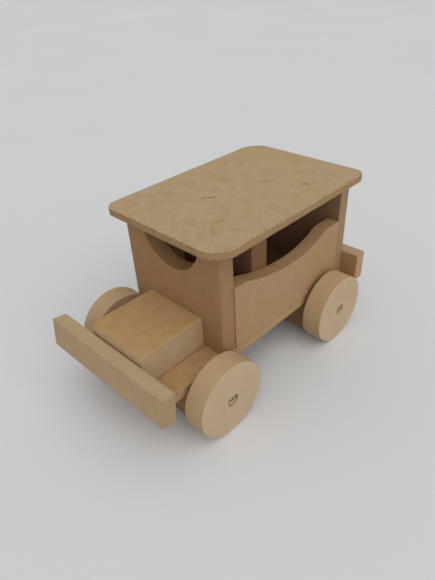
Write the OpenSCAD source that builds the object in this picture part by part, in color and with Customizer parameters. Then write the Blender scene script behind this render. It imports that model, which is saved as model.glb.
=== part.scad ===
// Toy car of sawn board: a roofed cab, a bonnet block, two bumpers and four disc wheels.
// The front faces -Y, the car's own left side is +X, and the wheels stand on z = 0.
// The origin is the middle of the car's footprint.

/* [Wheels] */
// Diameter of a wheel
wheel_d = 50; // [46:1:56]
// Thickness of a wheel
wheel_t = 14.5; // [12:0.5:16]
// Width over the outer faces of the wheels
track_w = 116; // [114:1:124]
// Distance between the two axles
wheelbase = 112.5; // [108:0.5:116]
// Diameter of the dowel axles
axle_d = 8; // [6:1:9]

/* [Floor] */
// Height of the floor plate's underside above the ground
plate_z = 32.5; // [31.5:0.5:36]
// Thickness of the floor plate
plate_t = 6.5; // [5:0.5:9]

/* [Cab] */
// Length over the front and rear panels
cab_l = 127; // [124:1:132]
// Width over the side panels
cab_w = 80.5; // [79:0.5:84]
// Height from the floor plate to the roof
cab_h = 71.5; // [66:0.5:80]
// Thickness of the side and rear panels
board_t = 9.5; // [8:0.5:11]
// Thickness of the front panel
front_t = 11; // [9:0.5:12]
// Thickness of the partition
partition_t = 14.5; // [9:0.5:16]
// Radius of the half-moon cut in the front panel
moon_r = 24; // [18:1:28]

/* [Side panel wave] */
// Height of the panel at its front shoulder
wave_front_h = 44; // [42:0.5:46]
// Height of the panel at its rear shoulder
wave_rear_h = 43.5; // [41:0.5:46]
// Height of the panel at the lowest point of the wave
wave_low_h = 35.2; // [34:0.2:36]
// Radius of the wave's long front slope
wave_front_r = 130; // [110:1:135]
// Radius of the wave's short rear slope
wave_rear_r = 72; // [60:1:90]

/* [Roof] */
// Thickness of the roof
roof_t = 5; // [4:0.5:7]
// Length of the roof
roof_l = 140.5; // [136:0.5:144]
// Width of the roof
roof_w = 96.5; // [90:0.5:104]
// How far the roof reaches ahead of the front panel
roof_front = 8.8; // [4:0.2:12]
// Radius of the roof's front left and rear right corners
roof_r = 15; // [5:1:20]
// Radius of the roof's two tighter corners, front right and rear left
roof_tight_r = 8; // [5:1:20]

/* [Bonnet] */
// Length of the bonnet block
bonnet_l = 47; // [38:0.5:47.5]
// Width of the bonnet block
bonnet_w = 47.5; // [40:0.5:60]
// Height of the bonnet block
bonnet_h = 22; // [18:0.5:26]
// Radius of the bonnet's top edges along its sides
bonnet_r = 1.5; // [1:0.5:6]
// Radius of the bonnet's top edge at the nose
bonnet_nose_r = 6; // [3:0.5:8]

/* [Bumpers] */
// Length of a bumper
bumper_l = 105; // [90:1:110]
// Thickness of a bumper
bumper_t = 9.5; // [8:0.5:11]
// Height of the front bumper
front_bumper_h = 19.3; // [16:0.1:21]
// Height of the rear bumper
rear_bumper_h = 21.3; // [16:0.1:23]
// How far the front bumper's foot leans forward, in degrees
bumper_lean = 8.4; // [4:0.2:10]
// How far the front bumper's left end stands higher, in degrees
bumper_roll = 1; // [0:0.5:2]
// From the cab's front face to the middle of the front bumper
bumper_reach = 53.8; // [53.4:0.2:56]

/* [Hidden] */
$fn = 96;

// running fit of the dowel in its block, and the dowel end's depth below the wheel's face
axle_gap = 0.1;
axle_recess = 0.8;
// softened rim of a wheel, and the chamfer at its bore
rim_r = 1;
bore_chamfer = 0.5;
// the front and rear panels are this much narrower on each side than the cab
panel_inset = 0.6;
// from the cab's front face: back to the partition, forward to the front axle
partition_back = 36.4;
front_axle_ahead = 12.3;
// round shoulders at both ends of the side panel's wave, and the wave's lowest point
shoulder_r = 7.5;
wave_back = 68;
// middle heights of the two bumpers
front_bumper_z = 46.1;
rear_bumper_z = 44;
// axle block: depth along the car, and its height below the floor plate
block_d = 34;
block_h = 24;

// heights
axle_z = wheel_d / 2;
plate_top = plate_z + plate_t;
roof_z = plate_top + cab_h;
// lengths: the origin is midway between the two bumpers' outermost edges
bumper_drop = front_bumper_h / 2 * cos(bumper_roll) + bumper_l / 2 * sin(bumper_roll);
nose_l = bumper_reach + bumper_t / 2 * cos(bumper_lean) + bumper_drop * sin(bumper_lean);
tail_l = cab_l + bumper_t;
cab_y = (nose_l - tail_l) / 2;
cab_back = cab_y + cab_l;
front_axle_y = cab_y - front_axle_ahead;
rear_axle_y = front_axle_y + wheelbase;
partition_y = cab_y + partition_back;
side_y = cab_y + front_t;
side_l = cab_l - front_t - board_t;
bumper_y = cab_y - bumper_reach;
// widths
panel_w = cab_w - 2 * panel_inset;
inner_w = cab_w - 2 * board_t;
// reach of a plane or a cutter past the wood it cuts
over = 30;

// points of an arc in the plane of a side panel, from angle a0 to a1
function arc(c, r, a0, a1, steps) =
    [for (i = [0 : steps]) let (a = a0 + (a1 - a0) * i / steps) c + r * [cos(a), sin(a)]];

// a shoulder arc touches a slope arc: distance along the car between their centres
function shoulder_run(h, slope_r) =
    sqrt(pow(slope_r + shoulder_r, 2) - pow(wave_low_h + slope_r - h + shoulder_r, 2));

// direction from one point to another
function heading(from, to) = atan2(to[1] - from[1], to[0] - from[0]);

// outline of a side panel, seen from the side: along the car, height above the floor plate
function wave_outline() =
    let (low_y = cab_y + wave_back,
         front_slope = [low_y, wave_low_h + wave_front_r],
         rear_slope = [low_y, wave_low_h + wave_rear_r],
         front = [low_y - shoulder_run(wave_front_h, wave_front_r), wave_front_h - shoulder_r],
         rear = [low_y + shoulder_run(wave_rear_h, wave_rear_r), wave_rear_h - shoulder_r],
         front_a = heading(front, front_slope),
         rear_a = heading(rear, rear_slope))
    concat(
        [[side_y, 0], [side_y, wave_front_h]],
        arc(front, shoulder_r, 90, front_a, 10),
        arc(front_slope, wave_front_r, 180 + front_a, 270, 30),
        arc(rear_slope, wave_rear_r, 270, 180 + rear_a, 30),
        arc(rear, shoulder_r, rear_a, 90, 10),
        [[side_y + side_l, wave_rear_h], [side_y + side_l, 0]]);

// a board standing on the floor plate across the car
module cross_board(w, t, y)
    translate([-w / 2, y, plate_top]) cube([w, t, cab_h]);

// a bar across the car, upright, its middle at the origin
module bumper_bar(h)
    cube([bumper_l, bumper_t, h], center = true);

// turns a bar so that its foot leans forward
module lean()
    translate([0, bumper_y, front_bumper_z]) rotate([-bumper_lean, 0, 0]) children();

module side_panel()
    translate([cab_w / 2 - board_t, 0, plate_top])
        rotate([90, 0, 90])
            linear_extrude(board_t) polygon(wave_outline());

module axle_block(y)
    color("burlywood")
        difference() {
            translate([-cab_w / 2, y - block_d / 2, plate_z - block_h])
                cube([cab_w, block_d, block_h]);
            translate([-cab_w / 2 - over, y, axle_z])
                rotate([0, 90, 0]) cylinder(d = axle_d + 2 * axle_gap, h = cab_w + 2 * over);
        }

module axle(y)
    color("tan")
        translate([-track_w / 2 + axle_recess, y, axle_z])
            rotate([0, 90, 0]) cylinder(d = axle_d, h = track_w - 2 * axle_recess);

// half section of a wheel: distance from the axle, distance from the inner face
module wheel_section()
    difference() {
        translate([axle_d / 2, 0]) square([(wheel_d - axle_d) / 2, wheel_t]);
        for (face = [0, wheel_t])
            translate([wheel_d / 2, face]) rotate(45) square(rim_r, center = true);
        for (face = [0, wheel_t])
            translate([axle_d / 2, face]) rotate(45) square(bore_chamfer * sqrt(2), center = true);
    }

// side is 1 on the car's left and -1 on its right
module wheel(side, y)
    color("wheat")
        translate([side * (track_w / 2 - wheel_t), y, axle_z])
            rotate([0, side * 90, 0]) rotate_extrude() wheel_section();

module base_plate()
    color("peru")
        difference() {
            translate([-cab_w / 2, bumper_y, plate_z])
                cube([cab_w, cab_back - bumper_y, plate_t]);
            // the front edge is planed to the bumper's lean
            lean() translate([0, bumper_t / 2 - over, 0])
                cube([2 * bumper_l, 2 * over, 2 * over], center = true);
        }

module front_panel()
    color("sienna")
        difference() {
            cross_board(panel_w, front_t, cab_y);
            translate([0, cab_y - over, roof_z])
                rotate([-90, 0, 0]) cylinder(r = moon_r, h = front_t + 2 * over);
        }

module rear_panel() color("sienna") cross_board(panel_w, board_t, cab_back - board_t);

module left_side_panel() color("tan") side_panel();

module right_side_panel() color("tan") mirror([1, 0, 0]) side_panel();

module cab_partition() color("sienna") cross_board(inner_w, partition_t, partition_y);

// the roof's corners, counter-clockwise: which way each lies from the middle, and its radius
roof_corners = [[1, 1, roof_tight_r], [-1, 1, roof_r], [-1, -1, roof_tight_r], [1, -1, roof_r]];

// where a corner's arc meets the roof's side, and where it meets the roof's front or rear end
function side_point(c) = [c[0] * roof_w / 2, c[1] * (roof_l / 2 - c[2])];
function end_point(c) = [c[0] * (roof_w / 2 - c[2]), c[1] * roof_l / 2];
function arc_ends(c) = c[0] == c[1] ? [side_point(c), end_point(c)] : [end_point(c), side_point(c)];

module roof()
    color("burlywood")
        translate([0, cab_y - roof_front + roof_l / 2, roof_z])
            union() {
                linear_extrude(roof_t) polygon([for (c = roof_corners) each arc_ends(c)]);
                for (c = roof_corners)
                    translate([end_point(c)[0], side_point(c)[1], 0]) cylinder(r = c[2], h = roof_t);
            }

// a rectangle standing on the x axis, its top corners rounded
module rounded_top(w, h, r)
    union() {
        translate([-w / 2, 0]) square([w, h - r]);
        translate([r - w / 2, 0]) square([w - 2 * r, h]);
        for (x = [-1, 1]) translate([x * (w / 2 - r), h - r]) circle(r);
    }

module bonnet_block()
    color("tan")
        intersection() {
            translate([0, cab_y, plate_top])
                rotate([90, 0, 0]) linear_extrude(bonnet_l) rounded_top(bonnet_w, bonnet_h, bonnet_r);
            // only the front of this profile's two round ends falls on the block
            translate([-bonnet_w / 2, cab_y, plate_top])
                rotate([90, 0, 90]) linear_extrude(bonnet_w)
                    rounded_top(2 * bonnet_l, bonnet_h, bonnet_nose_r);
        }

module front_bumper()
    color("burlywood") lean() rotate([0, -bumper_roll, 0]) bumper_bar(front_bumper_h);

module rear_bumper()
    color("burlywood")
        translate([0, cab_back + bumper_t / 2, rear_bumper_z]) bumper_bar(rear_bumper_h);

base_plate();
front_panel();
rear_panel();
left_side_panel();
right_side_panel();
cab_partition();
roof();
bonnet_block();
front_bumper();
rear_bumper();
axle_block(front_axle_y);  // front_axle_block
axle_block(rear_axle_y);  // rear_axle_block
axle(front_axle_y);  // front_axle
axle(rear_axle_y);  // rear_axle
wheel(1, front_axle_y);  // front_left_wheel
wheel(-1, front_axle_y);  // front_right_wheel
wheel(1, rear_axle_y);  // rear_left_wheel
wheel(-1, rear_axle_y);  // rear_right_wheel
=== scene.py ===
"""A toy car of bare fibreboard on a plain pale floor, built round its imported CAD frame.

Each CAD board is copied, its sawn edges are eased and nicked, and its surfaces get fibre,
mottling and wear. Wheels and dowels are turned from their own half sections.
"""
import math

import bmesh
import bpy
from mathutils import Matrix, Vector, kdtree, noise


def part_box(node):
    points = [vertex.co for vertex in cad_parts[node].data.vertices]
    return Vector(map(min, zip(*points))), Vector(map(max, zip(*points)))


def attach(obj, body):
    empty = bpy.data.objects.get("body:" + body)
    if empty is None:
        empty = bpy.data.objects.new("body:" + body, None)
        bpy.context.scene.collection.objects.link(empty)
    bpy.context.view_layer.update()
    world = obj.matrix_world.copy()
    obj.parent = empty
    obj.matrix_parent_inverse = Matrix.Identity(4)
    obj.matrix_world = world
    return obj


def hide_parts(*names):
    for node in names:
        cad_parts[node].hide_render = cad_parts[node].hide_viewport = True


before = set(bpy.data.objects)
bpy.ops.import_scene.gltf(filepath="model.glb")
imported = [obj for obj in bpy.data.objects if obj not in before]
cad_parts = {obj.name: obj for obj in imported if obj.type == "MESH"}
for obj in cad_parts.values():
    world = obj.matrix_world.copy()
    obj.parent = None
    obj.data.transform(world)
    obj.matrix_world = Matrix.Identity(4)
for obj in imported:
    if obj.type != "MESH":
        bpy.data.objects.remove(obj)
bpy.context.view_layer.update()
MM = 0.001
X, Y, Z = 0, 1, 2

# The camera: where it stands, and how it is turned, tilted and rolled, in degrees.
CAMERA_PLACE = Vector((190.8, -187.2, 238.7)) * MM
CAMERA_AZIMUTH = 45.8
CAMERA_ELEVATION = 35.3
CAMERA_ROLL = -3.3
CAMERA_LENS = 29.9

# The light: a sky that is brighter overhead than at its rim, and a wide soft lamp that stands
# beyond the car's left side. Angles are in degrees.
SKY_TOP = (1.0, 1.0, 1.0)
SKY_RIM = (0.52, 0.53, 0.55)
SKY_STRENGTH = 0.655
SUN_AZIMUTH = 72
SUN_ELEVATION = 48
SUN_SPREAD = 75
SUN_STRENGTH = 1.12
SUN_COLOUR = (1.0, 0.985, 0.965)
FLOOR_HALF_WIDTH = 6.0

# The boards' meshes: size of a cell, spacing of the samples along sharp edges, and how far
# the wear at an edge reaches into the faces beside it.
CELL = 3.0 * MM
EDGE_SAMPLE = 0.7 * MM
WEAR_REACH = 1.1 * MM
SHARP_ANGLE = math.radians(35)
MERGE_DISTANCE = 0.005 * MM
# How deep the slow unevenness of a board and the nicks along its edges go.
WAVE_DEPTH = 0.042 * MM
NICK_DEPTH = 0.22 * MM

# How many flat strips make a full turn, and the first seeds of the wheels and the dowels.
WHEEL_STEPS = 144
DOWEL_STEPS = 48
WHEEL_SEED = 21
DOWEL_SEED = 31

# Bare wood hardly shines, and a rubbed corner is this much paler than the face.
SPECULAR = 0.12
RUBBED = 1.25
# A face counts as flat within about 30 degrees of the axis that it looks along.
FLAT_GAIN = 1.15

# The sockets of a Mix node that mixes colours: the share, both colours and the result.
MIX_SHARE, MIX_FIRST, MIX_SECOND, MIX_COLOUR = 0, 6, 7, 2


# ---------------------------------------------------------------- camera, light and floor

def towards(azimuth, elevation):
    """A unit vector at these angles in degrees, where azimuth 0 is ahead and 90 is left."""
    azimuth, elevation = math.radians(azimuth), math.radians(elevation)
    return Vector((
        math.sin(azimuth) * math.cos(elevation),
        -math.cos(azimuth) * math.cos(elevation),
        math.sin(elevation)))


def add_camera():
    """The scene's camera, over the car's front left corner."""
    data = bpy.data.cameras.new("camera")
    data.lens = CAMERA_LENS
    data.clip_start, data.clip_end = 0.01, 50
    camera = bpy.data.objects.new("camera", data)
    bpy.context.collection.objects.link(camera)
    ahead = -towards(CAMERA_AZIMUTH, CAMERA_ELEVATION)
    aim = ahead.to_track_quat("-Z", "Y").to_matrix()
    roll = Matrix.Rotation(math.radians(CAMERA_ROLL), 3, "Z")
    camera.matrix_world = Matrix.Translation(CAMERA_PLACE) @ (aim @ roll).to_4x4()
    bpy.context.scene.camera = camera


def add_light():
    """An even light from all round and one wide soft lamp."""
    world = bpy.data.worlds.new("studio")
    world.use_nodes = True
    tree = world.node_tree
    background = tree.nodes["Background"]
    background.inputs["Strength"].default_value = SKY_STRENGTH
    direction = tree.nodes.new("ShaderNodeTexCoord").outputs["Generated"]
    split = tree.nodes.new("ShaderNodeSeparateXYZ")
    tree.links.new(direction, split.inputs[0])
    fade = tree.nodes.new("ShaderNodeMix")
    fade.data_type = "RGBA"
    fade.inputs[MIX_FIRST].default_value = (*SKY_RIM, 1)
    fade.inputs[MIX_SECOND].default_value = (*SKY_TOP, 1)
    tree.links.new(split.outputs["Z"], fade.inputs[MIX_SHARE])
    tree.links.new(fade.outputs[MIX_COLOUR], background.inputs["Color"])
    bpy.context.scene.world = world
    data = bpy.data.lights.new("lamp", "SUN")
    data.energy = SUN_STRENGTH
    data.angle = math.radians(SUN_SPREAD)
    data.color = SUN_COLOUR
    lamp = bpy.data.objects.new("lamp", data)
    beam = -towards(SUN_AZIMUTH, SUN_ELEVATION)
    lamp.rotation_euler = beam.to_track_quat("-Z", "Y").to_euler()
    bpy.context.collection.objects.link(lamp)


# ---------------------------------------------------------------- shader helpers

class Paint:
    """One material's node tree, with short calls for the nodes that the surfaces need."""

    def __init__(self, name):
        self.material = bpy.data.materials.new(name)
        self.material.use_nodes = True
        self.tree = self.material.node_tree
        self.shader = self.tree.nodes["Principled BSDF"]
        self.place = self.node("ShaderNodeTexCoord").outputs["Object"]

    def node(self, kind, values=None, **settings):
        """A new node with its settings, and its sockets linked or set to the values."""
        node = self.tree.nodes.new(kind)
        for name, setting in settings.items():
            setattr(node, name, setting)
        for socket, value in (values or {}).items():
            self.put(node.inputs[socket], value)
        return node

    def put(self, socket, value):
        """Links another socket to this one, or sets it to a colour or a number."""
        if isinstance(value, bpy.types.NodeSocket):
            self.tree.links.new(value, socket)
        elif socket.type == "RGBA":
            socket.default_value = (*value, 1)
        else:
            socket.default_value = value

    def calc(self, operation, first, second=0.0):
        """The result of a Math node."""
        node = self.node("ShaderNodeMath", {0: first, 1: second}, operation=operation)
        return node.outputs[0]

    def span(self, value, low, high, to_low=0.0, to_high=1.0):
        """The value stretched from low..high to to_low..to_high, and clamped there."""
        values = {0: value, 1: low, 2: high, 3: to_low, 4: to_high}
        return self.node("ShaderNodeMapRange", values).outputs[0]

    def mix(self, share, first, second):
        """A colour between two colours, as far from the first as share says."""
        values = {MIX_SHARE: share, MIX_FIRST: first, MIX_SECOND: second}
        return self.node("ShaderNodeMix", values, data_type="RGBA").outputs[MIX_COLOUR]

    def attribute(self, name):
        """A number that the mesh carries, such as its wear."""
        return self.node("ShaderNodeAttribute", attribute_name=name).outputs["Fac"]

    def mapped(self, turn=(0, 0, 0), scale=(1, 1, 1), shift=(0, 0, 0)):
        """The object's own coordinates, moved, turned and scaled."""
        values = {
            "Vector": self.place, "Location": shift,
            "Rotation": tuple(math.radians(angle) for angle in turn), "Scale": scale}
        return self.node("ShaderNodeMapping", values, vector_type="TEXTURE").outputs[0]

    def grain(self, size, detail=2.0, place=None, rough=0.55):
        """Smooth noise from 0 to 1 whose features are about size metres across."""
        values = {
            "Vector": place or self.place, "Scale": 1 / size,
            "Detail": detail, "Roughness": rough}
        return self.node("ShaderNodeTexNoise", values).outputs[0]

    def dots(self, size, share):
        """Sparse round specks on a grid of cells of that size, 1 inside a speck."""
        values = {"Vector": self.place, "Scale": 1 / size}
        cells = self.node("ShaderNodeTexVoronoi", values, feature="F1")
        width = self.span(self.grain(size * 2.7, 0), 1 - share, 1, 0, 0.34)
        inside = self.calc("SUBTRACT", width, cells.outputs["Distance"])
        return self.span(inside, 0, 0.06)

    def finish(self, colour, roughness, height, depth):
        """Links colour, roughness and a bump of that depth in metres to the shader."""
        self.put(self.shader.inputs["Base Color"], colour)
        self.put(self.shader.inputs["Roughness"], roughness)
        self.put(self.shader.inputs["Specular IOR Level"], SPECULAR)
        bump = self.node("ShaderNodeBump", {"Height": height, "Distance": depth, "Strength": 1.0})
        self.put(self.shader.inputs["Normal"], bump.outputs[0])
        return self.material


# ---------------------------------------------------------------- surfaces

# how the fibres lie, in degrees: the pale and the dark ones of a board, and those of a wheel
PALE_FIBRES = [(10, 20, 15), (-15, 5, 75), (20, -10, 135)]
DARK_FIBRES = [(5, -15, 45), (12, 18, 105), (0, 9, 165)]
WHEEL_FIBRES = [(80, 10, 0), (35, 80, 20), (120, -70, 60)]


def shaded(colour, factor):
    """The colour, darker or lighter."""
    return tuple(channel * factor for channel in colour)


def tinted(colour, factors):
    """The colour with each of its channels scaled."""
    return tuple(channel * factor for channel, factor in zip(colour, factors))


def fibres(paint, turns, length, width, cover):
    """Short straight fibres lying at several angles, 1 on a fibre and 0 between them."""
    lying = None
    for number, turn in enumerate(turns):
        shift = (0.013 * number, 0.007 * number, 0.003 * number)
        place = paint.mapped(turn, (length, width, width), shift)
        threads = paint.span(paint.grain(1.0, 1.0, place, 0.4), cover, cover + 0.12)
        lying = threads if lying is None else paint.calc("MAXIMUM", lying, threads)
    return lying


def fibreboard(name, face, edge, mottling, chips, marks):
    """Raw fibreboard: mottled pressed faces, rougher sawn edges and rubbed corners."""
    paint = Paint(name)
    wear, cut, depth = (paint.attribute(kind) for kind in ("wear", "cut", "depth"))
    clouds = paint.grain(34 * MM, 3)
    blotches = paint.grain(7 * MM, 4, rough=0.6)
    flecks = paint.grain(0.9 * MM, 3, rough=0.7)
    pale_threads = fibres(paint, PALE_FIBRES, 2.4 * MM, 0.22 * MM, 0.58)
    dark_threads = fibres(paint, DARK_FIBRES, 2.0 * MM, 0.25 * MM, 0.60)

    # pressed face: yellow and pink clouds, soft blotches, then fibres and specks
    yellow = tinted(face, (0.98, 1.0, 0.88))
    pink = tinted(face, (1.03, 0.985, 1.08))
    colour = paint.mix(paint.span(clouds, 0.38, 0.62), yellow, pink)
    tint = tinted(face, (0.86, 0.80, 0.62))
    colour = paint.mix(paint.span(blotches, 0.42, 0.70, 0, mottling), colour, tint)
    colour = paint.mix(paint.span(flecks, 0.35, 0.75, 0, 0.35), colour, shaded(face, 1.18))
    colour = paint.mix(paint.calc("MULTIPLY", pale_threads, 0.22), colour, shaded(face, 1.35))
    colour = paint.mix(paint.calc("MULTIPLY", dark_threads, 0.26), colour, shaded(face, 0.62))
    specks = paint.calc("MULTIPLY", paint.dots(5 * MM, 0.45), 0.30)
    colour = paint.mix(specks, colour, shaded(face, 0.55))

    # sawn edge: dense dark skins on both sides of a paler open core, with fuzz
    skin = paint.calc("ABSOLUTE", paint.calc("SUBTRACT", depth, 0.5))
    fuzz = paint.grain(0.45 * MM, 3, rough=0.7)
    sawn = paint.mix(paint.span(skin, 0.30, 0.47), shaded(edge, 1.05), shaded(edge, 0.86))
    sawn = paint.mix(paint.span(blotches, 0.35, 0.70, 0, 0.6), sawn, shaded(edge, 0.83))
    sawn = paint.mix(paint.span(fuzz, 0.35, 0.70, 0, 0.5), sawn, shaded(edge, 1.22))
    colour = paint.mix(cut, colour, sawn)

    # rubbed and frayed corners
    frayed = paint.calc("ADD", wear, paint.span(paint.grain(2.2 * MM, 4), 0.3, 0.7, -0.45, 0.25))
    rubbed = paint.span(frayed, 0.45, 1.0, 0, 0.45)
    colour = paint.mix(rubbed, colour, shaded(face, RUBBED))
    chipped = paint.span(paint.grain(1.1 * MM, 2), 0.52, 0.62, 0, chips)
    colour = paint.mix(paint.calc("MULTIPLY", chipped, wear), colour, shaded(edge, 0.55))
    # each mark and its tint: stains on the roof, painted shade on the floor inside the cab, darker
    # ends on the bumper
    for mark, tint in marks:
        colour = paint.mix(mark(paint), colour, tinted(face, tint))

    roughness = paint.span(flecks, 0.3, 0.7, 0.80, 0.95)
    height = paint.calc("MULTIPLY", flecks, 0.6)
    height = paint.calc("ADD", height, paint.calc("MULTIPLY", pale_threads, 0.3))
    rough_cut = paint.calc("MULTIPLY", paint.calc("ADD", cut, rubbed), 1.1)
    height = paint.calc("ADD", height, paint.calc("MULTIPLY", fuzz, rough_cut))
    return paint.finish(colour, roughness, height, 0.09 * MM)


def turned_wood(name, face, rim):
    """A sanded disc: paler and smoother than the boards, its rims rubbed."""
    paint = Paint(name)
    wear, cut = paint.attribute("wear"), paint.attribute("cut")
    clouds = paint.grain(16 * MM, 3)
    blotches = paint.grain(4.5 * MM, 4, rough=0.6)
    flecks = paint.grain(0.7 * MM, 3, rough=0.7)
    threads = fibres(paint, WHEEL_FIBRES, 2.2 * MM, 0.22 * MM, 0.60)
    pink = tinted(face, (1.02, 1.02, 1.07))
    colour = paint.mix(paint.span(clouds, 0.38, 0.62), shaded(face, 0.97), pink)
    colour = paint.mix(paint.span(blotches, 0.42, 0.70, 0, 0.4), colour, shaded(face, 0.87))
    colour = paint.mix(paint.span(flecks, 0.35, 0.75, 0, 0.3), colour, shaded(face, 1.14))
    colour = paint.mix(paint.calc("MULTIPLY", threads, 0.18), colour, shaded(face, 0.72))
    specks = paint.calc("MULTIPLY", paint.dots(6 * MM, 0.40), 0.4)
    colour = paint.mix(specks, colour, shaded(face, 0.5))
    # the tread is a sawn edge, a little browner than the sanded faces
    brown, dark_brown = tinted(face, (0.92, 0.865, 0.75)), tinted(face, (0.86, 0.80, 0.665))
    tread = paint.mix(paint.span(blotches, 0.35, 0.70), brown, dark_brown)
    tread = paint.mix(paint.span(flecks, 0.35, 0.75, 0, 0.35), tread, shaded(face, 0.98))
    colour = paint.mix(cut, colour, tread)
    frayed = paint.calc("ADD", wear, paint.span(paint.grain(2.5 * MM, 4), 0.3, 0.7, -0.4, 0.2))
    colour = paint.mix(paint.span(frayed, 0.4, 1.0, 0, 0.25), colour, rim)
    # grime and painted shade in the joint round the dowel
    colour = paint.mix(paint.attribute("gap_grime_and_shade"), colour, shaded(face, 0.24))
    roughness = paint.span(flecks, 0.3, 0.7, 0.72, 0.88)
    height = paint.calc("MULTIPLY", flecks, 0.5)
    height = paint.calc("ADD", height, paint.calc("MULTIPLY", threads, 0.2))
    height = paint.calc("ADD", height, paint.calc("MULTIPLY", paint.grain(0.45 * MM, 3), cut))
    return paint.finish(colour, roughness, height, 0.06 * MM)


def dowel_wood(name, side, end, mark):
    """A hardwood dowel: streaks along its length, and porous ends with a dark mark."""
    paint = Paint(name)
    cut, gap_grime_and_shade = paint.attribute("cut"), paint.attribute("gap_grime_and_shade")
    streaks = paint.grain(1.0, 4, paint.mapped(scale=(22 * MM, 0.7 * MM, 0.7 * MM)))
    pores = paint.grain(0.35 * MM, 3, rough=0.7)
    colour = paint.mix(paint.span(streaks, 0.35, 0.65), shaded(side, 0.82), shaded(side, 1.12))
    blotches = paint.span(paint.grain(2.6 * MM, 2), 0.42, 0.60)
    end_grain = paint.mix(paint.span(pores, 0.38, 0.62), shaded(end, 0.90), shaded(end, 1.1))
    end_grain = paint.mix(paint.calc("MULTIPLY", blotches, 0.30), end_grain, shaded(end, 0.70))
    colour = paint.mix(cut, colour, end_grain)
    # grime and painted shade round the dowel's ends, where it sits in the bore
    colour = paint.mix(gap_grime_and_shade, colour, tinted(end, (0.30, 0.24, 0.20)))
    marked = paint.calc("MULTIPLY", mark(paint), cut)
    colour = paint.mix(marked, colour, tinted(end, (0.30, 0.20, 0.14)))
    roughness = paint.span(streaks, 0.3, 0.7, 0.62, 0.80)
    return paint.finish(colour, roughness, paint.calc("ADD", pores, streaks), 0.08 * MM)


def pale_floor():
    """A plain matt pale surface."""
    paint = Paint("floor")
    cloudy = paint.span(paint.grain(0.22, 2), 0.3, 0.7)
    colour = paint.mix(cloudy, (0.735, 0.745, 0.755), (0.755, 0.760, 0.765))
    roughness = paint.span(cloudy, 0, 1, 0.62, 0.70)
    return paint.finish(colour, roughness, paint.grain(2 * MM, 2), 0.01 * MM)


# ---------------------------------------------------------------- boards

def node_mesh(node):
    """A CAD node's mesh as bmesh, with its flat faces whole again."""
    mesh = bmesh.new()
    mesh.from_mesh(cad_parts[node].data)
    bmesh.ops.remove_doubles(mesh, verts=mesh.verts, dist=MERGE_DISTANCE)
    bmesh.ops.dissolve_limit(
        mesh, angle_limit=math.radians(1), verts=mesh.verts, edges=mesh.edges)
    return mesh


def sharp_edges(mesh):
    """The edges along which two faces meet at a corner, not in a curve."""
    return [edge for edge in mesh.edges if edge.calc_face_angle(0) > SHARP_ANGLE]


def edge_samples(edges):
    """Closely spaced points along the edges, ready to be searched for the nearest."""
    points = []
    for edge in edges:
        start, end = (vertex.co for vertex in edge.verts)
        count = max(1, math.ceil((end - start).length / EDGE_SAMPLE))
        points += [start.lerp(end, step / count) for step in range(count + 1)]
    tree = kdtree.KDTree(len(points))
    for number, point in enumerate(points):
        tree.insert(point, number)
    tree.balance()
    return tree


def slice_up(mesh, low, high, ease):
    """Cuts the mesh into cells, with an extra cut just inside each outer face."""
    for axis in (X, Y, Z):
        normal = Vector((0, 0, 0))
        normal[axis] = 1
        margin = ease + WEAR_REACH
        cuts = [low[axis] + margin, high[axis] - margin]
        count = max(1, round((cuts[1] - cuts[0]) / CELL))
        for step in range(count + 1):
            place = Vector((0, 0, 0))
            place[axis] = cuts[0] + (cuts[1] - cuts[0]) * step / count
            everything = mesh.verts[:] + mesh.edges[:] + mesh.faces[:]
            bmesh.ops.bisect_plane(
                mesh, geom=everything, plane_co=place, plane_no=normal, dist=MERGE_DISTANCE)


def uneven(place, size, seed):
    """Noise from 0 to 1 at a place, with features of about that size."""
    return 0.5 + 0.5 * noise.noise(place / size + Vector((seed, 2.3 * seed, 5.1 * seed)))


def flatness(face, axis):
    """1 for a face that looks along the axis, and 0 for one that lies along it."""
    return min(1, abs(face.normal[axis]) * FLAT_GAIN)


def new_object(name, mesh, material):
    """A smooth object made of the mesh, whose large faces still look flat."""
    data = bpy.data.meshes.new(name)
    mesh.to_mesh(data)
    mesh.free()
    piece = bpy.data.objects.new(name, data)
    bpy.context.collection.objects.link(piece)
    data.materials.append(material)
    data.shade_smooth()
    keep_flat = piece.modifiers.new("flat_faces", "WEIGHTED_NORMAL")
    keep_flat.weight = 80
    keep_flat.keep_sharp = False
    return piece


def add_board(node, thin, ease_mm, material, seed):
    """One board: a copy of its CAD node with eased, nicked edges and slightly uneven faces."""
    low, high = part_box(node)
    ease = ease_mm * MM
    mesh = node_mesh(node)
    edges = sharp_edges(mesh)
    near = edge_samples(edges)
    bmesh.ops.bevel(
        mesh, geom=edges, offset=ease, offset_type="OFFSET", segments=3, profile=0.5,
        affect="EDGES", clamp_overlap=True)
    slice_up(mesh, low, high, ease)
    bmesh.ops.triangulate(mesh, faces=[face for face in mesh.faces if len(face.verts) > 4])
    mesh.normal_update()

    wear = mesh.verts.layers.float.new("wear")
    depth = mesh.verts.layers.float.new("depth")
    cut = mesh.faces.layers.float.new("cut")
    for face in mesh.faces:
        face[cut] = 1 - flatness(face, thin)
    moves = []
    for vertex in mesh.verts:
        gap = near.find(vertex.co)[2]
        vertex[wear] = max(0, 1 - max(0, gap - 0.5 * ease) / WEAR_REACH)
        vertex[depth] = (vertex.co[thin] - low[thin]) / (high[thin] - low[thin])
        wave = WAVE_DEPTH * uneven(vertex.co, 22 * MM, seed)
        nick = NICK_DEPTH * vertex[wear] * max(0, uneven(vertex.co, 3.5 * MM, seed + 7) - 0.35)
        moves.append(vertex.normal * -(wave + nick))
    for vertex, move in zip(mesh.verts, moves):
        vertex.co += move
    piece = new_object("board_" + node, mesh, material)
    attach(piece, "car_body")
    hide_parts(node)


# ---------------------------------------------------------------- wheels and dowels

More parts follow.
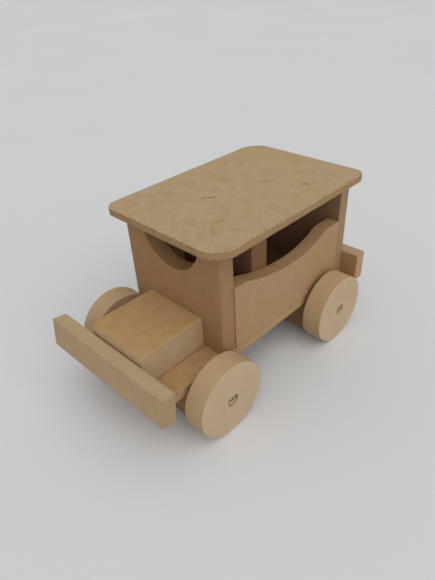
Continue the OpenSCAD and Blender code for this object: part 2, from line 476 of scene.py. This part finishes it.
def arc(middle, radius, start, end, steps):
    """Points of an arc in the half section, angles in degrees."""
    angles = [math.radians(start + (end - start) * step / steps) for step in range(steps + 1)]
    return [(middle[0] + radius * math.cos(a), middle[1] + radius * math.sin(a)) for a in angles]


def turn(section, steps, axis_place, side, closed):
    """Turns a half section of (distance from the axis, distance along it) round an X axis."""
    mesh = bmesh.new()
    rings = []
    for radius, along in section:
        if radius == 0:
            rings.append([mesh.verts.new(axis_place + Vector((side * along, 0, 0)))])
            continue
        ring = []
        for step in range(steps):
            angle = 2 * math.pi * step / steps
            out = Vector((side * along, radius * math.cos(angle), radius * math.sin(angle)))
            ring.append(mesh.verts.new(axis_place + out))
        rings.append(ring)
    pairs = list(zip(rings, rings[1:]))
    if closed:
        pairs.append((rings[-1], rings[0]))
    for first, second in pairs:
        for step in range(steps):
            after = (step + 1) % steps
            corners = [first[step % len(first)], first[after % len(first)],
                       second[after % len(second)], second[step % len(second)]]
            mesh.faces.new(list(dict.fromkeys(corners)))
    bmesh.ops.recalc_face_normals(mesh, faces=mesh.faces)
    mesh.normal_update()
    return mesh


def roughen(mesh, seed, depth, size):
    """Sinks the surface unevenly, to that depth at most."""
    for vertex in mesh.verts:
        vertex.co -= vertex.normal * depth * uneven(vertex.co, size, seed)


def ring_grime_and_shade(out, strength, lean):
    """Grime and painted shade in the joint round a dowel, strongest at the two ends of a line that
    leans.
    """
    facing = math.cos(math.atan2(out[Z], out[Y]) - math.radians(lean))
    return strength * (0.25 + 0.75 * facing ** 2)


def add_wheel(node, axle, body, material, seed, grime_and_shade_strength, lean):
    """A wheel with rounded rims and an eased bore, where grime and painted shade sit round the dowel.
    """
    low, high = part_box(node)
    axle_low, axle_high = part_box(axle)
    radius = (high[Y] - low[Y]) / 2
    thick = high[X] - low[X]
    bore = (axle_high[Y] - axle_low[Y]) / 2
    side = 1 if low[X] > 0 else -1
    inner = min(abs(low[X]), abs(high[X]))
    rim, mouth, face_rings = 0.8 * MM, 0.3 * MM, 9
    span = radius - rim - bore - mouth
    ring_radii = [bore + mouth + span * ring / face_rings for ring in range(face_rings + 1)]
    section = [(bore, mouth)]
    section += [(ring_radius, 0) for ring_radius in ring_radii]
    section += arc((radius - rim, rim), rim, -90, 0, 4)[1:]
    section += [(radius, thick * share) for share in (0.25, 0.5, 0.75)]
    section += arc((radius - rim, thick - rim), rim, 0, 90, 4)
    section += [(ring_radius, thick) for ring_radius in ring_radii[-2::-1]]
    section += [(bore + 0.3 * mouth, thick - 0.25 * mouth), (bore, thick - 1.6 * mouth)]
    middle = Vector((side * inner, (low[Y] + high[Y]) / 2, (low[Z] + high[Z]) / 2))
    mesh = turn(section, WHEEL_STEPS, middle, side, closed=True)
    roughen(mesh, seed, depth=0.05 * MM, size=9 * MM)
    wear = mesh.verts.layers.float.new("wear")
    gap_grime_and_shade = mesh.verts.layers.float.new("gap_grime_and_shade")
    cut = mesh.faces.layers.float.new("cut")
    for face in mesh.faces:
        face[cut] = 1 - flatness(face, X)
    for vertex in mesh.verts:
        out = (vertex.co - middle) * Vector((0, 1, 1))
        along = abs(vertex.co[X] - middle[X])
        from_rim = radius - out.length
        from_face = min(along, thick - along)
        vertex[wear] = max(0, 1 - (from_rim + from_face) / (2.4 * rim))
        ragged = 0.6 + 0.6 * uneven(vertex.co, 2.2 * MM, seed + 3)
        at_joint = out.length < bore + 0.5 * mouth
        # grime and painted shade in the gap between the bore and the dowel
        vertex[gap_grime_and_shade] = min(1, ragged * ring_grime_and_shade(out, grime_and_shade_strength, lean)) if at_joint else 0
    piece = new_object("disc_" + node, mesh, material)
    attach(piece, body)
    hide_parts(node)


def add_dowel(node, body, material, seed, grime_and_shade_strength, lean):
    """A dowel with eased, roughly sawn ends, and grime and painted shade round them."""
    low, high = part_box(node)
    radius = (high[Y] - low[Y]) / 2
    length = high[X] - low[X]
    ease, saw_depth, grime_and_shade_depth = 0.5 * MM, 0.25 * MM, 1.5 * MM
    end_shares = (0, 0.2, 0.4, 0.6, 0.72)
    section = [(radius * share, 0) for share in end_shares]
    section += arc((radius - ease, ease), ease, -90, 0, 4)
    section += [(radius, length * share) for share in (0.02, 0.25, 0.5, 0.75, 0.98)]
    section += arc((radius - ease, length - ease), ease, 0, 90, 4)
    section += [(radius * share, length) for share in reversed(end_shares)]
    middle = Vector((low[X], (low[Y] + high[Y]) / 2, (low[Z] + high[Z]) / 2))
    mesh = turn(section, DOWEL_STEPS, middle, 1, closed=False)
    gap_grime_and_shade = mesh.verts.layers.float.new("gap_grime_and_shade")
    cut = mesh.faces.layers.float.new("cut")
    for face in mesh.faces:
        face[cut] = flatness(face, X)
    for vertex in mesh.verts:
        out = (vertex.co - middle) * Vector((0, 1, 1))
        from_end = min(abs(vertex.co[X] - low[X]), abs(vertex.co[X] - high[X]))
        at_rim = out.length > radius - 0.6 * ease and from_end < grime_and_shade_depth
        ragged = 0.5 + 0.7 * uneven(vertex.co, 2.0 * MM, seed)
        vertex[gap_grime_and_shade] = min(1, ragged * ring_grime_and_shade(out, grime_and_shade_strength, lean)) if at_rim else 0
        if from_end < ease:
            inward = 1 if vertex.co[X] < 0 else -1
            vertex.co[X] += inward * saw_depth * uneven(vertex.co, 1.6 * MM, seed + 5)
    piece = new_object("rod_" + node, mesh, material)
    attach(piece, body)
    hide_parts(node)


# ---------------------------------------------------------------- marks

def blot(spot, turned, size, strength, raggedness=0.6):
    """A mask that paints a ragged ellipsoid, turned in degrees, with half sizes in metres."""
    def mask(paint):
        place = paint.mapped(turned, size, spot)
        away = paint.node("ShaderNodeVectorMath", {0: place}, operation="LENGTH").outputs["Value"]
        broken = paint.span(paint.grain(1.3 * MM, 2), 0.35, 0.65, -raggedness, raggedness)
        inside = paint.span(paint.calc("ADD", away, broken), 0.6, 1.3, 1, 0)
        return paint.calc("MULTIPLY", inside, strength)

    return mask


def roof_mark(along_x, along_y, turned, length_mm, width_mm, strength, tint):
    """A mark on the roof, placed by shares of the roof's width and length, and its stain."""
    low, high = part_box("roof")
    spot = (low[X] + (high[X] - low[X]) * along_x, low[Y] + (high[Y] - low[Y]) * along_y, high[Z])
    size = (length_mm * MM / 2, width_mm * MM / 2, 2 * MM)
    return blot(spot, (0, 0, turned), size, strength), tint


# ---------------------------------------------------------------- the car

# the stains' colours, as factors on the face's own colour
BURN = (0.34, 0.30, 0.24)
SMEAR = (0.66, 0.60, 0.46)
ROOF_MARKS = [
    roof_mark(0.424, 0.322, 64, 3.0, 1.9, 0.90, BURN),
    roof_mark(0.445, 0.338, 40, 2.8, 1.5, 0.80, BURN),
    roof_mark(0.462, 0.356, 75, 3.0, 1.6, 0.85, BURN),
    roof_mark(0.795, 0.712, 20, 4.0, 2.8, 0.80, BURN),
    roof_mark(0.795, 0.880, 35, 2.4, 1.4, 0.45, BURN),
    roof_mark(0.78, 0.13, -40, 9, 3.0, 0.60, SMEAR),
    roof_mark(0.85, 0.19, 30, 8, 2.4, 0.55, SMEAR),
    roof_mark(0.72, 0.20, 75, 7, 2.4, 0.60, SMEAR),
    roof_mark(0.62, 0.12, 10, 8, 2.4, 0.45, SMEAR),
    roof_mark(0.70, 0.27, -20, 6, 2.0, 0.45, SMEAR),
    roof_mark(0.33, 0.52, -20, 14, 5.0, 0.25, SMEAR),
    roof_mark(0.55, 0.62, 40, 16, 5.0, 0.30, SMEAR),
    roof_mark(0.20, 0.25, 15, 12, 6.0, 0.25, SMEAR),
]

# each board: its material slot, its thin axis, how much its edges are eased in millimetres,
# the colours of its pressed face and its sawn edge, how strongly the face is mottled and how
# strongly its corners are chipped
TAN = (0.476, 0.348, 0.203)
SIDE = (0.447, 0.290, 0.162)
SIDE_EDGE = (0.432, 0.274, 0.140)
# painted shade: a dark brown for the axle blocks, standing in for the deep shade under the floor
# board
PAINTED_SHADE_UNDERSIDE = (0.27, 0.155, 0.085)
BOARDS = {
    "base_plate": ("floor_board", Z, 0.3, (0.477, 0.300, 0.150), (0.45, 0.295, 0.155), 0.9, 0.6),
    "front_panel": ("cab_board", Y, 0.45, (0.387, 0.230, 0.119), (0.354, 0.210, 0.103), 0.5, 0.3),
    # the rear panel's face colour is painted shade: darkened so the inside of the cab looks shaded
    "rear_panel": ("cab_board", Y, 0.45, (0.30, 0.18, 0.11), (0.38, 0.245, 0.130), 0.5, 0.3),
    "left_side_panel": ("cab_board", X, 0.35, SIDE, SIDE_EDGE, 0.4, 0.2),
    "right_side_panel": ("cab_board", X, 0.35, SIDE, SIDE_EDGE, 0.4, 0.2),
    # the partition's colours are painted shade: far darker than the wood, for the shade inside the
    # cab and under the roof
    "cab_partition": ("cab_board", Y, 0.4, (0.24, 0.13, 0.075), (0.24, 0.135, 0.058), 0.5, 0.2),
    "roof": ("roof_board", Z, 0.5, TAN, (0.37, 0.232, 0.120), 0.8, 0.9),
    "bonnet_block": ("block_board", Z, 0.7, (0.463, 0.298, 0.141), (0.499, 0.359, 0.214), 0.8, 0.4),
    "front_bumper": ("bumper_board", Y, 0.6, (0.478, 0.340, 0.210), (0.49, 0.358, 0.212), 0.5, 0.4),
    "rear_bumper": ("bumper_board", Y, 0.6, (0.443, 0.267, 0.143), (0.465, 0.312, 0.187), 0.5, 0.3),
    # the axle blocks take the painted-shade colour, not the wood's own
    "front_axle_block": ("block_board", Z, 0.5, PAINTED_SHADE_UNDERSIDE, PAINTED_SHADE_UNDERSIDE, 0.5, 0.3),
    "rear_axle_block": ("block_board", Z, 0.5, PAINTED_SHADE_UNDERSIDE, PAINTED_SHADE_UNDERSIDE, 0.5, 0.3),
}


def cab_floor_painted_shade(strength):
    """A mask for the part of the floor that lies inside the cab, which is painted darker as shade."""
    front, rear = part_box("front_panel")[1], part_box("rear_panel")[0]
    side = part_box("left_side_panel")[0][X]
    middle = (0, (front[Y] + rear[Y]) / 2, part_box("base_plate")[1][Z])
    half = (side, (rear[Y] - front[Y]) / 2, 1.0)

    def mask(paint):
        place = paint.mapped((0, 0, 0), half, middle)
        parts = paint.node("ShaderNodeSeparateXYZ", {0: place})
        across, along = (paint.calc("ABSOLUTE", parts.outputs[axis]) for axis in ("X", "Y"))
        return paint.span(paint.calc("MAXIMUM", across, along), 0.99, 1.01, strength, 0)

    return mask


def end_faces(node):
    """A mask for the two sawn ends of a bar that lies across the car."""
    low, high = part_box(node)
    middle, half = (low[X] + high[X]) / 2, (high[X] - low[X]) / 2

    def mask(paint):
        parts = paint.node("ShaderNodeSeparateXYZ", {0: paint.place})
        away = paint.calc("ABSOLUTE", paint.calc("SUBTRACT", parts.outputs["X"], middle))
        return paint.span(away, half - 0.9 * MM, half - 0.6 * MM)

    return mask


# the marks on each board that has some, each with its tint: painted shade on the floor inside the
# cab, and darker ends on the bumper
MARKS = {
    "roof": ROOF_MARKS,
    # painted shade: the floor inside the cab is darkened where the cab covers it
    "base_plate": [(cab_floor_painted_shade(0.9), (0.45, 0.42, 0.40))],
    "front_bumper": [(end_faces("front_bumper"), (0.88, 0.865, 0.767))],
}
# each wheelset: its axle, its two wheels, how strong the grime and painted shade in the joints round
# the dowel are, and the marks across the dowel's ends: their lean from level in degrees, half length,
# half width and strength
WHEELSETS = {
    "front_wheelset": (
        "front_axle", ("front_left_wheel", "front_right_wheel"), 0.65, (4, 4.6 * MM, 1.0 * MM, 0.90)),
    "rear_wheelset": (
        "rear_axle", ("rear_left_wheel", "rear_right_wheel"), 0.05, (10, 2.8 * MM, 2.2 * MM, 0.62)),
}
# the colours of a wheel's faces and rubbed rims, and of a dowel's side and ends
WHEEL_FACE = (0.566, 0.422, 0.270)
WHEEL_RIM = (0.62, 0.47, 0.31)
DOWEL_SIDE = (0.55, 0.40, 0.24)
DOWEL_END = (0.54, 0.395, 0.250)


def dowel_mark(axle, lean, half_length, half_width, strength):
    """A dark mark across both ends of an axle."""
    low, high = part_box(axle)
    middle = [(low[axis] + high[axis]) / 2 for axis in (X, Y, Z)]
    return blot(middle, (lean, 0, 0), (1.0, half_length, half_width), strength, 0.5)


def add_floor():
    """A wide pale floor at the height of the wheels' lowest points."""
    reach = FLOOR_HALF_WIDTH
    mesh = bpy.data.meshes.new("floor")
    corners = [(-reach, -reach, 0), (reach, -reach, 0), (reach, reach, 0), (-reach, reach, 0)]
    mesh.from_pydata(corners, [], [(0, 1, 2, 3)])
    mesh.materials.append(pale_floor())
    floor = bpy.data.objects.new("floor", mesh)
    bpy.context.collection.objects.link(floor)


add_camera()
add_light()
add_floor()
for seed, (node, (slot, thin, ease, face, edge, mottling, chips)) in enumerate(BOARDS.items()):
    marks = MARKS.get(node, ())
    material = fibreboard(node, face, edge, mottling, chips, marks)
    add_board(node, thin, ease, material, seed + 1)
for seed, (body, (axle, wheels, grime_and_shade_strength, mark)) in enumerate(WHEELSETS.items()):
    lean = mark[0]
    for number, node in enumerate(wheels):
        material = turned_wood(node, WHEEL_FACE, WHEEL_RIM)
        add_wheel(node, axle, body, material, WHEEL_SEED + 2 * seed + number, grime_and_shade_strength, lean)
    material = dowel_wood(axle, DOWEL_SIDE, DOWEL_END, dowel_mark(axle, *mark))
    add_dowel(axle, body, material, DOWEL_SEED + seed, grime_and_shade_strength, lean)

bpy.context.scene.view_settings.view_transform = "Standard"
